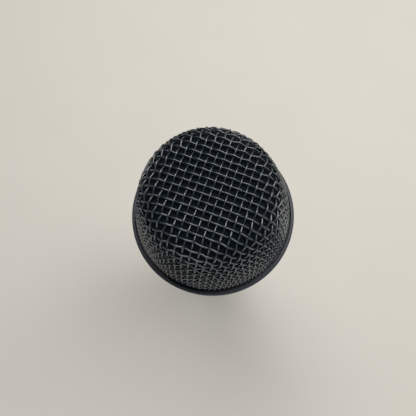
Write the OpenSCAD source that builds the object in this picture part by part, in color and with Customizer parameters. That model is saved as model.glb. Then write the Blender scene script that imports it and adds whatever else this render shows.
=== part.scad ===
// Handheld dynamic microphone: a tapered handle with a threaded neck, a woven
// wire grille that unscrews, a moving-coil capsule on a rubber mount, a slide
// switch, a transformer and a three-contact plug socket in the tail.
// The microphone stands on its tail: +Z runs up the axis to the grille, and
// the origin is the centre of the tail face. The switch faces -Y.

/* [Overall] */
// Diameter of the grille ring, the widest part
ring_d = 51; // [49:0.5:61]
// Length of the handle, from the tail face to the shoulder that the grille seats on
handle_length = 112; // [100:1:135]

/* [Handle] */
// Diameter of the tail
tail_d = 23.6; // [23:0.1:28.4]
// Length of the straight part of the tail
tail_straight_h = 9; // [6:0.5:12]
// Diameter at the waist, where the taper ends and the flare starts
waist_d = 32.4; // [31:0.1:34]
// Height of the flare from the waist to the shoulder's top
flare_h = 16; // [13:0.5:19]
// How far the shoulder stands out past the collar
shoulder_lip = 0.5; // [0.2:0.1:1]
// Length of the straight part of the shoulder
shoulder_h = 6; // [4:0.5:8]
// Wall thickness
handle_wall = 3; // [2.8:0.1:3.2]
// Edge chamfer at the tail and the shoulder
handle_chamfer = 0.7; // [0.3:0.1:1]
// Diameter of the threaded neck
neck_d = 30.7; // [30.2:0.1:31.2]
// Length of the threaded neck
neck_h = 8.5; // [7:0.5:9]
// Wall of the neck
neck_wall = 2.15; // [1.8:0.05:2.6]

/* [Grille] */
// Height of the upper basket above the ring, to its outer crown
dome_h = 30; // [28:0.5:33]
// Radius of the flattened front
cap_radius = 70; // [55:1:120]
// Distance from the axis at which the front turns into the shoulder
cap_edge_r = 11.7; // [9:0.1:12]
// Radius of the shoulder bend
bend_radius = 8.7; // [7:0.1:9.5]
// Slope of the basket's side where it meets the ring, 90 is upright
side_end_angle = 83; // [80:0.5:86]
// Thickness of the woven wire cloth
cloth_t = 1; // [0.8:0.05:1.2]
// Height of the lower basket between the collar and the ring
skirt_h = 11.5; // [9:0.5:14]
// Height of the grille ring
ring_h = 4.2; // [3.6:0.1:6]
// Width of the ring's outer lip
ring_lip = 0.95; // [0.6:0.05:1.2]
// Width of the ring's inner lip
ring_inner_lip = 0.65; // [0.5:0.05:1]
// Thickness of the ring's web between the two cloths
ring_web = 1; // [0.8:0.1:1.4]
// Chamfer on the ring's outer edges
ring_chamfer = 0.3; // [0.1:0.05:0.4]
// Space between the cloth and the ring's outer lip
ring_gap = 0.55; // [0.1:0.05:0.8]
// Space between the cloth and the ring's inner lip
ring_inner_gap = 0.15; // [0.05:0.05:0.3]
// Inward lean of the lower basket under the ring, in degrees
skirt_lean = 20; // [10:1:24]
// Height of the lower basket's upright foot on the collar
skirt_foot_h = 1.2; // [0.8:0.1:2]
// Foam thickness
foam_t = 3.2; // [2:0.1:4]
// Space between the foam and the cloth
foam_gap = 0.3; // [0.1:0.1:0.6]

/* [Collar and neck gasket] */
// Wall of the collar's sleeve
collar_wall = 1.05; // [0.8:0.05:1.3]
// Width of the collar outside the lower basket's foot
collar_lip = 0.3; // [0.1:0.05:0.6]
// Height of the collar's flange, on which the lower basket stands
collar_flange_h = 3.5; // [3:0.1:4.5]
// Height of the collar's sleeve
collar_h = 7; // [6:0.1:8]
// Running clearance of the thread, on the radius
thread_clearance = 0.05; // [0.02:0.01:0.08]
// Neck gasket thickness
gasket_t = 0.8; // [0.5:0.1:1.2]
// Space between the gasket's bore and the neck
gasket_gap = 0.15; // [0.1:0.05:0.3]
/* [Capsule] */
// Diameter of the capsule's head
capsule_d = 29.6; // [28:0.1:31]
// Wall of the capsule's head and of the front cap
capsule_wall = 1.2; // [0.9:0.1:1.3]
// Height of the capsule's head, up to the diaphragm's rim
capsule_h = 15.5; // [15:0.1:18]
// Height of the rubber mount above the neck, on which the head rests
mount_h = 5; // [3:0.5:6]
// Thickness of the rubber mount's flange
mount_flange_t = 1.5; // [1:0.1:2]
// Wall of the rubber mount inside the neck
rubber_wall = 3; // [2.5:0.1:3.2]
// Wall of the capsule's stem inside the rubber mount
stem_wall = 1.45; // [1.2:0.05:1.8]
// Length of the stem below the head
stem_h = 14.5; // [11:0.5:15]
// Length of the rear chamber below the capsule's head floor
chamber_h = 33.5; // [28:0.5:34]
// Wall of the rear chamber
chamber_wall = 1; // [0.7:0.1:1.2]
// Space between glued or slipped-in capsule pieces, on the radius
slip_gap = 0.05; // [0.03:0.01:0.1]
// Floor thickness of the yoke cup
yoke_floor = 2.3; // [1.8:0.1:2.6]
// Wall of the yoke cup
yoke_wall = 1.9; // [1.5:0.1:2.1]
// Diameter of the magnet
magnet_d = 15.2; // [14:0.1:15.4]
// Height of the magnet
magnet_h = 5.5; // [5:0.1:6]
// Diameter of the pole piece, which the coil surrounds
pole_d = 15.8; // [15.4:0.1:16.2]
// Height of the pole piece
pole_h = 4.1; // [3.5:0.1:4.6]
// Thickness of the top plate
top_plate_t = 2; // [1.5:0.1:2.4]
// Diameter of the vent through the motor
vent_d = 4; // [3:0.1:5]
// Space on each side of the voice coil
coil_gap = 0.4; // [0.3:0.05:0.5]
// Wall of the voice coil
coil_t = 0.6; // [0.4:0.05:0.7]
// Length of the voice coil
coil_h = 5.6; // [5:0.1:6]
// Film thickness of the diaphragm and its surround
film_t = 0.25; // [0.2:0.05:0.3]
// Height of the diaphragm's dome
film_dome_h = 2.6; // [2:0.1:3]
// Height of the surround's roll
roll_h = 1.3; // [0.8:0.1:1.6]
// Height of the front cap
front_cap_h = 6.95; // [6.5:0.05:8]
// Thickness of the cloth disc
disc_t = 0.4; // [0.3:0.1:0.6]
// Holes in the ring round the front cap's centre hole
cap_holes = 8; // [6:1:10]
// Diameter of the front cap's ring holes
cap_hole_d = 3.4; // [2.6:0.1:3.8]
// Diameter of the front cap's centre hole
cap_centre_d = 4.8; // [3:0.1:6]
// Radius of the circle that the ring holes lie on
cap_hole_r = 8.6; // [8:0.1:9]
// Felt plug thickness
felt_t = 3; // [2:0.5:5]
// Terminal board thickness
board_t = 1.2; // [0.8:0.1:1.6]
// Distance of each solder lug from the axis
lug_r = 3.5; // [2.5:0.1:5]

/* [Switch] */
// Distance of the switch's middle below the waist
switch_drop = 18; // [16:1:22]
// Travel of the slider
switch_travel = 4; // [3:0.2:4]
// Width of the guide plate
plate_w = 9; // [8.6:0.1:9.4]
// Length of the guide plate
plate_l = 24; // [23:0.5:25]
// Thickness of the guide plate and of the switch's mounting ears
plate_t = 0.8; // [0.6:0.1:0.9]
// Depth of the plate's face under the crest of the handle
plate_depth = 0.3; // [0.2:0.05:0.4]
// Thickness of the slider's shoe inside the switch
shoe_t = 0.8; // [0.6:0.1:1]
// Space between the switch pieces
switch_gap = 0.2; // [0.15:0.05:0.25]
// Width of the slider's stem
stem_w = 3.4; // [3:0.1:3.6]
// Length of the slider's stem
stem_l = 4.8; // [4:0.1:5]
// Height that the slider stands out of the plate
slider_out = 1.6; // [1:0.1:2.2]
// Width of the switch body
switch_w = 6; // [5.6:0.1:6.4]
// Length of the switch body
switch_l = 14.4; // [14:0.1:15]
// Depth of the switch body
switch_depth = 5; // [4:0.1:5.5]
// Distance between the two plate screws
screw_span = 19.6; // [19:0.1:20]
// Shank diameter of the plate screws
screw_d = 1.8; // [1.6:0.1:2]
// Head diameter of the plate screws
screw_head_d = 3.4; // [3:0.1:3.6]

/* [Tail socket] */
// Bore of the socket in the tail
socket_d = 16.1; // [16:0.05:16.3]
// Depth of the socket
socket_depth = 15; // [14:0.5:16]
// Length of the moulded insert
insert_l = 12; // [10:0.5:13]
// Space between the insert and the bore, on the radius
insert_gap = 0.05; // [0.03:0.01:0.1]
// Diameter of a contact pin
contact_d = 2.4; // [2.3:0.05:2.5]
// Diameter of a contact pin's shank in the insert
contact_shank_d = 2; // [1.8:0.05:2.05]
// Space between a contact pin's shoulder and the insert
contact_gap = 0.1; // [0.05:0.05:0.3]
// Length of a contact pin in the socket
contact_l = 11.1; // [10:0.1:12]
// Distance of each contact pin from the axis
contact_r = 3.81; // [3.6:0.01:4]
// Height of the insert's retaining screw above the tail face
insert_screw_z = 21; // [19:0.5:22]
// Diameter of the retaining screw
insert_screw_d = 2.5; // [2:0.1:3]

/* [Transformer] */
// Height of the transformer above the tail face
core_z = 40; // [38:1:42]
// Width of the laminated core
core_w = 14; // [13:0.1:14.6]
// Stack thickness of the core
core_t = 7; // [6:0.1:7.4]
// Height of the core
core_h = 14; // [12:0.5:16]
// Width of the core's centre leg
core_leg = 4.4; // [4:0.1:5]
// Width of the core's outer legs and yokes
core_side = 2.2; // [2:0.1:2.4]
// Bobbin wall
bobbin_wall = 0.45; // [0.35:0.05:0.6]
// Thickness of the bobbin's flanges
bobbin_flange_t = 0.8; // [0.6:0.1:1]
// Space between core, bobbin and sleeve
bobbin_gap = 0.1; // [0.05:0.05:0.15]
// How far the winding stands out of the core's face
winding_out = 3.1; // [2.5:0.1:3.3]
// Radial space between the sleeve and the handle
sleeve_gap = 0.1; // [0.05:0.05:0.2]
// Diameter of a lead wire
lead_d = 1; // [0.8:0.1:1.2]

/* [Hidden] */
$fn = 96;
// Segments in each drawn arc
arc_steps = 12;
// How far a cutter runs past the face that it opens
over = 1;
// Length of a pin's or screw's end chamfer
tip_chamfer = 0.8;

// Heights along the axis
neck_top = handle_length + neck_h;
waist_z = handle_length - flare_h;
switch_z = waist_z - switch_drop;
seat_z = handle_length + gasket_t;
collar_step = seat_z + collar_flange_h;
ring_bottom = collar_step + skirt_h;
ring_top = ring_bottom + ring_h;
ring_mid = ring_top - ring_h / 2;
head_z = neck_top + mount_h;
head_floor = head_z + capsule_wall;
film_z = head_z + capsule_h;
cap_top = film_z + film_t + front_cap_h;
insert_top = socket_depth + insert_l;
cavity_bottom = insert_top + 3;

// Handle
tail_r = tail_d / 2;
waist_r = waist_d / 2;
neck_r = neck_d / 2;
neck_bore_r = neck_r - neck_wall;
skirt_foot_r = neck_r + thread_clearance + collar_wall + slip_gap + cloth_t / 2;
collar_r = skirt_foot_r + cloth_t / 2 + collar_lip;
shoulder_r = collar_r + shoulder_lip;
taper_a = atan((waist_r - tail_r) / (waist_z - tail_straight_h));
function taper_r(z) = tail_r + (z - tail_straight_h) * tan(taper_a);
function cavity_r(z) = taper_r(z) - handle_wall;

// Grille cloth: a flattened front, a bend and a bowed side, tangent to each other
ring_r = ring_d / 2;
cloth_r = ring_r - ring_lip - ring_gap - cloth_t / 2;
cap_c = [0, ring_top + dome_h - cloth_t / 2 - cap_radius];
cap_a = asin(cap_edge_r / cap_radius);
bend_c = cap_c + (cap_radius - bend_radius) * [sin(cap_a), cos(cap_a)];
side_n = [sin(side_end_angle), cos(side_end_angle)];
bend_to_ring = [cloth_r, ring_top] - bend_c;
side_radius = (bend_to_ring * bend_to_ring - bend_radius * bend_radius)
    / (2 * (bend_to_ring * side_n - bend_radius));
side_c = [cloth_r, ring_top] - side_radius * side_n;
side_a = atan2(bend_c[0] - side_c[0], bend_c[1] - side_c[1]);
// Lower basket: one bow from the ring down to an upright foot on the collar
skirt_a = 90 + skirt_lean;
skirt_n = [sin(skirt_a), cos(skirt_a)];
skirt_foot_z = collar_step + skirt_foot_h;
skirt_rise = [cloth_r - skirt_foot_r, ring_bottom - skirt_foot_z];
skirt_radius = (skirt_rise * skirt_rise) / (2 * (skirt_rise * skirt_n));
skirt_c = [cloth_r, ring_bottom] - skirt_radius * skirt_n;
foam_out = cloth_t / 2 + foam_gap;
foam_in = foam_out + foam_t;
foam_bottom = max(neck_top + 1.5, skirt_foot_z + 3);

// Capsule
capsule_r = capsule_d / 2;
stem_r = neck_bore_r - rubber_wall - 2 * slip_gap;
chamber_r = stem_r - stem_wall - slip_gap;
chamber_bottom = head_floor - chamber_h;
motor_r = capsule_r - capsule_wall - slip_gap;
pole_r = pole_d / 2;
coil_in = pole_r + coil_gap;
coil_out = coil_in + coil_t;
pole_top = head_floor + yoke_floor + magnet_h + pole_h;
film_r = coil_out + film_t;
roll_r = motor_r - 0.5;
lug_l = 2.5;
lug_d = 1.6;

// Switch
slot_l = stem_l + switch_travel + 2 * switch_gap;
slot_w = stem_w + 2 * switch_gap;
plate_face = -plate_depth;
ears_face = plate_face - plate_t;
can_face = ears_face - plate_t;
slider_face = plate_face + slider_out;
channel_floor = can_face - 2 * switch_gap - shoe_t;
can_bottom = can_face - switch_depth;
tag_pitch = 4;
tag_l = 2.5;
shoe_w = switch_w - 1.4;
shoe_l = switch_l - switch_travel - 1.6;

// Tail socket
insert_r = socket_d / 2 - insert_gap;
contact_angles = [0, 180, 270];

// Transformer
sleeve_r = norm([core_w / 2 - core_side - bobbin_gap, core_t / 2 + winding_out + 0.4]) + bobbin_gap;
window_h = core_h - 2 * core_side;
flange_x = core_w / 2 - core_side - bobbin_gap;

// Lead routes: each leaves its two ends along the given directions, as one smooth curve
function route(a, along_a, b, along_b) = [for (i = [0 : 8]) let (t = i / 8, u = 1 - t)
    u * u * u * a + 3 * u * u * t * (a + along_a) + 3 * u * t * t * (b + along_b) + t * t * t * b];
lead_gap = 0.35;
lug_tip = chamber_bottom - board_t - lug_l - lead_gap;
lead_y = core_t / 2 + winding_out / 2 + 0.2;
lead_top = core_z + core_h - core_side - bobbin_gap + lead_gap;
lead_low = core_z + core_side + bobbin_gap - lead_gap;
cup_top = insert_top + 4 + lead_gap;
function switch_point(x, y_out, z) = [x, -taper_r(switch_z) - y_out * cos(taper_a) - z * sin(taper_a),
    switch_z - y_out * sin(taper_a) + z * cos(taper_a)];
leads = concat(
    [for (s = [-1, 1]) route([s * lug_r, 0, lug_tip], [0, 0, -12], [s * 2, lead_y, lead_top], [0, 0, 14])],
    [for (z = [-1, 0]) route(switch_point(0, can_bottom - tag_l - lead_gap, z * tag_pitch), [-3 - 6 * z, 5, 0],
        [-1.4 - 2.8 * z, -lead_y, lead_top], [0, 0, 8])],
    [for (a = contact_angles) let (end = contact_r * [cos(a), sin(a)])
        route([end[0] == 0 ? 0 : sign(end[0]) * 3, a > 180 ? -lead_y : lead_y, lead_low], [0, 0, -5],
            [end[0], end[1], cup_top], [0, 0, 3])]);

// Points of an arc about c, with angles from the axis towards the outside
function arc(c, r, from, to) =
    [for (i = [0 : arc_steps]) let (a = from + (to - from) * i / arc_steps) c + r * [sin(a), cos(a)]];
// The upper basket's surface, moved outwards by d, from the crown to the ring
function dome_line(d) = concat(
    arc(cap_c, cap_radius + d, 0, cap_a),
    arc(bend_c, bend_radius + d, cap_a, side_a),
    arc(side_c, side_radius + d, side_a, side_end_angle));
// The lower basket's surface, moved outwards by d, from the ring down to the angle a
function skirt_line(d, a) = arc(skirt_c, skirt_radius + d, skirt_a, a);
// Angle at which the lower basket's surface, moved by d, reaches radius r or height z
function skirt_at_r(d, r) = 180 - asin((r - skirt_c[0]) / (skirt_radius + d));
function skirt_at_z(d, z) = acos((z - skirt_c[1]) / (skirt_radius + d));
function reversed(list) = [for (i = [len(list) - 1 : -1 : 0]) list[i]];

// A turned piece from its half outline, or a ring between two radii and two heights
module turned(outline) rotate_extrude() polygon(outline);
module ring(r_in, r_out, z_low, z_high)
    turned([[r_in, z_low], [r_out, z_low], [r_out, z_high], [r_in, z_high]]);
// A box given by its middle in X and Y, its sizes and its two heights
module bar(x, y, z_low, z_high) translate([-x / 2, -y / 2, z_low]) cube([x, y, z_high - z_low]);
// The switch's own frame: X across, Y out of the handle, Z up the taper
module at_switch() translate([0, -taper_r(switch_z), switch_z]) rotate([taper_a, 0, 0]) children();
// A box in the switch's frame, from depth y_in to y_out, where out of the handle is positive
module switch_bar(w, l, y_in, y_out) translate([-w / 2, -y_out, -l / 2]) cube([w, y_out - y_in, l]);
// A cylinder across the switch's pieces
module switch_pin(d, y_in, y_out)
    translate([0, -y_in, 0]) rotate([90, 0, 0]) cylinder(h = y_out - y_in, d = d, $fn = 48);
module each_screw() for (s = [-1, 1]) translate([0, 0, s * screw_span / 2]) children();
module each_contact() for (a = contact_angles) rotate([0, 0, a]) translate([contact_r, 0, 0]) children();

module handle() color("#26282e") difference() {
    union() {
        turned([[0, 0], [tail_r - handle_chamfer, 0], [tail_r, handle_chamfer], [tail_r, tail_straight_h],
            [waist_r, waist_z], [shoulder_r, handle_length - shoulder_h],
            [shoulder_r, handle_length - handle_chamfer], [shoulder_r - handle_chamfer, handle_length],
            [0, handle_length]]);
        turned([[0, handle_length - over], [neck_r, handle_length - over],
            [neck_r, neck_top - handle_chamfer], [neck_r - handle_chamfer, neck_top], [0, neck_top]]);
    }
    translate([0, 0, -over]) cylinder(h = cavity_bottom + 2 * over, d = socket_d);
    turned([[0, cavity_bottom], [cavity_r(cavity_bottom), cavity_bottom],
        [waist_r - handle_wall, waist_z], [neck_bore_r, waist_z + 6],
        [neck_bore_r, neck_top + over], [0, neck_top + over]]);
    at_switch() {
        switch_bar(plate_w + 2 * switch_gap, plate_l + 2 * switch_gap, can_face, over + plate_t);
        switch_bar(switch_w + 2 * switch_gap, switch_l + 2 * switch_gap, -2 * handle_wall, 0);
        each_screw() switch_pin(screw_d + 0.1, -2 * handle_wall, 0);
    }
    translate([0, 0, insert_screw_z]) rotate([-90, 0, 0])
        cylinder(h = tail_r + 2 * over, d = insert_screw_d + 0.1, $fn = 48);
}

module switch_plate() color("#1c1d20") at_switch() difference() {
    switch_bar(plate_w, plate_l, ears_face, plate_face);
    switch_bar(slot_w, slot_l, ears_face - over, over);
    each_screw() switch_pin(screw_head_d + 0.1, ears_face - over, over);
}

module switch_body() color("#8a8c90") at_switch() difference() {
    union() {
        switch_bar(plate_w, plate_l, can_face, ears_face);
        switch_bar(switch_w, switch_l, can_bottom, ears_face);
    }
    switch_bar(slot_w, slot_l, channel_floor, over);
    switch_bar(shoe_w + 2 * switch_gap, switch_l - 1.2, channel_floor, can_face);
    each_screw() switch_pin(screw_d + 0.1, can_face - over, over);
}

module switch_tags() color("#b8904a") at_switch() for (z = [-tag_pitch, 0, tag_pitch])
    translate([0, 0, z]) switch_bar(1.6, 0.6, can_bottom - tag_l, can_bottom);

module switch_screws() color("#3a3b3e") at_switch() each_screw() difference() {
    union() {
        switch_pin(screw_d, can_face - 0.4, ears_face);
        switch_pin(screw_head_d, ears_face, plate_face + 0.2);
    }
    switch_bar(0.5, screw_head_d - 1, plate_face - 0.2, over);
}

// The slider rests at the lower end of its slot
module switch_slider() color("#111214") at_switch() translate([0, 0, -switch_travel / 2]) {
    difference() {
        switch_bar(stem_w, stem_l, can_face - switch_gap, slider_face);
        for (i = [-1.5 : 1.5]) translate([0, 0, i * stem_l / 4.5])
            switch_bar(stem_w + over, 0.5, slider_face - 0.4, slider_face + over);
    }
    switch_bar(shoe_w, shoe_l, can_face - switch_gap - shoe_t, can_face - switch_gap);
}

module connector_insert() color("#17181a") difference() {
    translate([0, 0, socket_depth]) cylinder(h = insert_l, r = insert_r);
    each_contact() translate([0, 0, socket_depth - over])
        cylinder(h = insert_l + 2 * over, d = contact_shank_d + 0.04, $fn = 48);
    translate([0, 0, insert_screw_z]) rotate([-90, 0, 0]) translate([0, 0, insert_r - 2.6])
        cylinder(h = insert_r, d = insert_screw_d + 0.1, $fn = 48);
}

module contact_pins() color("#d8b45a") each_contact() difference() {
    translate([0, 0, socket_depth - contact_l]) turned([[0, 0], [contact_d / 2 - tip_chamfer / 2, 0],
        [contact_d / 2, tip_chamfer], [contact_d / 2, contact_l - contact_gap],
        [contact_shank_d / 2, contact_l - contact_gap], [contact_shank_d / 2, contact_l + insert_l + 4],
        [0, contact_l + insert_l + 4]]);
    translate([0, 0, insert_top + 1]) cylinder(h = 4, d = contact_shank_d - 0.6, $fn = 48);
}

module insert_screw() color("#55565a") translate([0, 0, insert_screw_z]) rotate([-90, 0, 0]) difference() {
    translate([0, 0, insert_r - 2.5]) cylinder(h = taper_r(insert_screw_z) - insert_r + 2.2, d = insert_screw_d, $fn = 48);
    translate([0, 0, taper_r(insert_screw_z) - 1.1]) bar(0.5, insert_screw_d + over, 0, 2 * over);
}

module transformer_core() color("#5d6066") difference() {
    bar(core_w, core_t, core_z, core_z + core_h);
    for (s = [-1, 1]) translate([s * (core_w / 2 - core_side + core_leg / 2) / 2, 0, 0])
        bar(core_w / 2 - core_side - core_leg / 2, core_t + over, core_z + core_side, core_z + core_side + window_h);
}

module bobbin_hole() bar(core_leg + 2 * bobbin_gap, core_t + 2 * bobbin_gap, core_z, core_z + core_h);
module bobbin_tube(grow = 0) bar(core_leg + 2 * (bobbin_gap + bobbin_wall + grow),
    core_t + 2 * (bobbin_gap + bobbin_wall + grow), core_z + core_side + bobbin_gap, core_z + core_h - core_side - bobbin_gap);

module transformer_bobbin() color("#c9c2ae") difference() {
    union() {
        bobbin_tube();
        for (z = [core_z + core_side + bobbin_gap, core_z + core_h - core_side - bobbin_gap - bobbin_flange_t])
            bar(2 * flange_x, core_t + 2 * (winding_out + 0.4), z, z + bobbin_flange_t);
    }
    bobbin_hole();
}

// The winding's ends are half round, as wire lies round a bobbin
module transformer_winding() color("#a4532a") difference() {
    union() for (s = [-1, 1]) {
        low = core_z + core_side + bobbin_gap + bobbin_flange_t + 0.05;
        high = core_z + core_h - core_side - bobbin_gap - bobbin_flange_t - 0.05;
        round_r = 2;
        bar(2 * (flange_x - 0.1), core_t + 2 * (winding_out - round_r), low, high);
        bar(2 * (flange_x - 0.1 - round_r), core_t + 2 * winding_out, low, high);
        for (t = [-1, 1]) translate([s * (flange_x - 0.1 - round_r), t * (core_t / 2 + winding_out - round_r), low])
            cylinder(h = high - low, r = round_r, $fn = 48);
    }
    bobbin_tube(0.03);
}

module transformer_sleeve() color("#2b2b2b") turned([
    [sleeve_r, core_z - 2], [cavity_r(core_z - 2) - sleeve_gap, core_z - 2],
    [cavity_r(core_z + core_h + 3) - sleeve_gap, core_z + core_h + 3], [sleeve_r, core_z + core_h + 3]]);

// A tube of six sides swept along a route of points
module swept(route, r) {
    last = len(route) - 1;
    sides = 6;
    rings = [for (i = [0 : last])
        let (d = route[min(i + 1, last)] - route[max(i - 1, 0)], t = d / norm(d),
            u = cross(t, [0, 1, 0]) / norm(cross(t, [0, 1, 0])), v = cross(t, u))
        [for (k = [0 : sides - 1]) route[i] + r * (cos(k * 360 / sides) * u + sin(k * 360 / sides) * v)]];
    walls = [for (i = [0 : last - 1], k = [0 : sides - 1]) let (n = (k + 1) % sides)
        [i * sides + k, i * sides + n, (i + 1) * sides + n, (i + 1) * sides + k]];
    ends = [[for (k = [sides - 1 : -1 : 0]) k], [for (k = [0 : sides - 1]) last * sides + k]];
    polyhedron(points = [for (loop = rings) each loop], faces = concat(walls, ends), convexity = 4);
}

module lead_wires() color("#7a1f1f") for (route = leads) swept(route, lead_d / 2);

module shock_mount() color("#1a1a1a") turned([
    [stem_r + slip_gap, handle_length - 2], [neck_bore_r - slip_gap, handle_length - 2],
    [neck_bore_r - slip_gap, neck_top], [neck_r - 0.8, neck_top], [neck_r - 0.8, neck_top + mount_flange_t],
    [stem_r + 3, neck_top + mount_flange_t + 0.8], [stem_r + 3, head_z], [stem_r + slip_gap, head_z]]);

module capsule_shell() color("#9a9da2") turned([
    [chamber_r + slip_gap, head_z - stem_h], [stem_r, head_z - stem_h], [stem_r, head_z], [capsule_r, head_z],
    [capsule_r, film_z], [capsule_r - capsule_wall, film_z], [capsule_r - capsule_wall, head_floor],
    [chamber_r + slip_gap, head_floor]]);

module rear_chamber() color("#202225") turned([
    [0, chamber_bottom], [chamber_r, chamber_bottom], [chamber_r, head_floor],
    [chamber_r - chamber_wall, head_floor], [chamber_r - chamber_wall, chamber_bottom + chamber_wall],
    [0, chamber_bottom + chamber_wall]]);

module felt_plug() color("#8d8878") translate([0, 0, head_z - 2 * felt_t])
    cylinder(h = felt_t, r = chamber_r - chamber_wall - slip_gap);

module terminal_board() color("#7d5a2b") difference() {
    translate([0, 0, chamber_bottom - board_t]) cylinder(h = board_t, r = chamber_r - 0.6);
    for (s = [-1, 1]) translate([s * lug_r, 0, chamber_bottom - board_t - over])
        cylinder(h = board_t + 2 * over, d = lug_d + 0.04, $fn = 48);
}

module solder_lugs() color("#c9a75c") for (s = [-1, 1]) translate([s * lug_r, 0, chamber_bottom - board_t])
    turned([[0, -lug_l], [lug_d / 2 - 0.2, -lug_l], [lug_d / 2, -lug_l + 0.4], [lug_d / 2, -0.4],
        [lug_d, -0.4], [lug_d, 0], [lug_d / 2, 0], [lug_d / 2, board_t], [0, board_t]]);

module yoke_cup() color("#6f7378") turned([
    [vent_d / 2, head_floor], [motor_r, head_floor], [motor_r, pole_top - top_plate_t],
    [motor_r - yoke_wall, pole_top - top_plate_t], [motor_r - yoke_wall, head_floor + yoke_floor],
    [vent_d / 2, head_floor + yoke_floor]]);

module magnet() color("#3d4046")
    ring(vent_d / 2, magnet_d / 2, head_floor + yoke_floor, head_floor + yoke_floor + magnet_h);

module pole_piece() color("#7a7e84") ring(vent_d / 2, pole_r, pole_top - pole_h, pole_top);

module top_plate() color("#7a7e84") ring(coil_out + coil_gap, motor_r, pole_top - top_plate_t, pole_top);

module voice_coil() color("#b3652f") ring(coil_in, coil_out, film_z + 0.2 - coil_h, film_z + 0.2);

// The dome is a slice of a sphere over the coil, with a flat rim that the coil hangs from
module diaphragm() color("#d9d6cf") let (
    dome_edge = coil_in - 0.1,
    sphere_r = (dome_edge * dome_edge + film_dome_h * film_dome_h) / (2 * film_dome_h),
    half_a = asin(dome_edge / sphere_r),
    centre = [0, film_z + 0.2 + film_dome_h - sphere_r])
    turned(concat(arc(centre, sphere_r + film_t, 0, half_a),
        [[film_r - 0.02, film_z + 0.2 + film_t], [film_r - 0.02, film_z + 0.2]],
        reversed(arc(centre, sphere_r, 0, half_a))));

// The surround is one roll between the dome's rim and the rim clamped by the front cap
module diaphragm_surround() color("#cfcbc2") let (
    half_w = (roll_r - film_r) / 2,
    bow_r = (half_w * half_w + roll_h * roll_h) / (2 * roll_h),
    bow_a = asin(half_w / bow_r),
    top_a = asin(half_w / (bow_r + film_t)),
    centre = [(roll_r + film_r) / 2, film_z + roll_h - bow_r])
    turned(concat(arc(centre, bow_r + film_t, -top_a, bow_a),
        [[capsule_r - 0.1, film_z + film_t], [capsule_r - 0.1, film_z]],
        reversed(arc(centre, bow_r, -bow_a, bow_a))));

module cloth_disc() color("#33343a")
    translate([0, 0, cap_top - capsule_wall - disc_t]) cylinder(h = disc_t, r = capsule_r - capsule_wall - 0.3);

module front_cap() color("#2a2c31") difference() {
    turned([[capsule_r - capsule_wall, film_z + film_t], [capsule_r, film_z + film_t],
        [capsule_r, cap_top - handle_chamfer], [capsule_r - handle_chamfer, cap_top], [0, cap_top],
        [0, cap_top - capsule_wall], [capsule_r - capsule_wall, cap_top - capsule_wall]]);
    translate([0, 0, cap_top - 2 * capsule_wall]) cylinder(h = 3 * capsule_wall, d = cap_centre_d, $fn = 48);
    for (i = [0 : cap_holes - 1]) rotate([0, 0, i * 360 / cap_holes])
        translate([cap_hole_r, 0, cap_top - 2 * capsule_wall])
            cylinder(h = 3 * capsule_wall, d = cap_hole_d, $fn = 48);
}

module neck_gasket() color("#141414") ring(neck_r + gasket_gap, collar_r - 0.2, handle_length, seat_z);

module grille_collar() color("#23262d") turned([
    [neck_r + thread_clearance, seat_z], [collar_r - ring_chamfer, seat_z],
    [collar_r, seat_z + ring_chamfer], [collar_r, collar_step],
    [skirt_foot_r - cloth_t / 2 - slip_gap, collar_step], [skirt_foot_r - cloth_t / 2 - slip_gap, seat_z + collar_h],
    [neck_r + thread_clearance, seat_z + collar_h]]);

module lower_basket() color("#1f2126") let (h = cloth_t / 2) turned(concat(
    [[cloth_r + h, ring_mid - ring_web / 2]], skirt_line(h, skirt_at_r(h, skirt_foot_r + h)),
    [[skirt_foot_r + h, collar_step], [skirt_foot_r - h, collar_step]],
    reversed(skirt_line(-h, skirt_at_r(-h, skirt_foot_r - h))), [[cloth_r - h, ring_mid - ring_web / 2]]));

module grille_ring() color("#1c2030") let (
    lip_in = ring_r - ring_lip,
    inner_out = cloth_r - cloth_t / 2 - ring_inner_gap,
    inner_in = inner_out - ring_inner_lip,
    half_web = ring_web / 2)
    turned([[ring_r, ring_bottom + ring_chamfer], [ring_r, ring_top - ring_chamfer],
        [ring_r - ring_chamfer, ring_top], [lip_in, ring_top], [lip_in, ring_mid + half_web],
        [inner_out, ring_mid + half_web], [inner_out, ring_top - ring_chamfer],
        [inner_in, ring_top - ring_chamfer], [inner_in, ring_bottom + ring_chamfer],
        [inner_out, ring_bottom + ring_chamfer], [inner_out, ring_mid - half_web],
        [lip_in, ring_mid - half_web], [lip_in, ring_bottom], [ring_r - ring_chamfer, ring_bottom]]);

module upper_basket() color("#25272c") let (h = cloth_t / 2) turned(concat(
    dome_line(h), [[cloth_r + h, ring_mid + ring_web / 2], [cloth_r - h, ring_mid + ring_web / 2]],
    reversed(dome_line(-h))));

// The foam lines both baskets and steps in past the ring's inner lip
module foam_windscreen() color("#121316") let (
    step_r = cloth_r - cloth_t / 2 - ring_inner_gap - ring_inner_lip - foam_gap,
    step_high = ring_top + foam_gap,
    step_low = ring_bottom - foam_gap)
    turned(concat(
        [for (p = dome_line(-foam_out)) if (p[1] > step_high) p], [[step_r, step_high], [step_r, step_low]],
        [for (p = skirt_line(-foam_out, skirt_at_z(-foam_out, foam_bottom))) if (p[0] < step_r) p],
        reversed(skirt_line(-foam_in, skirt_at_z(-foam_in, foam_bottom))),
        reversed(dome_line(-foam_in))));

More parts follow.
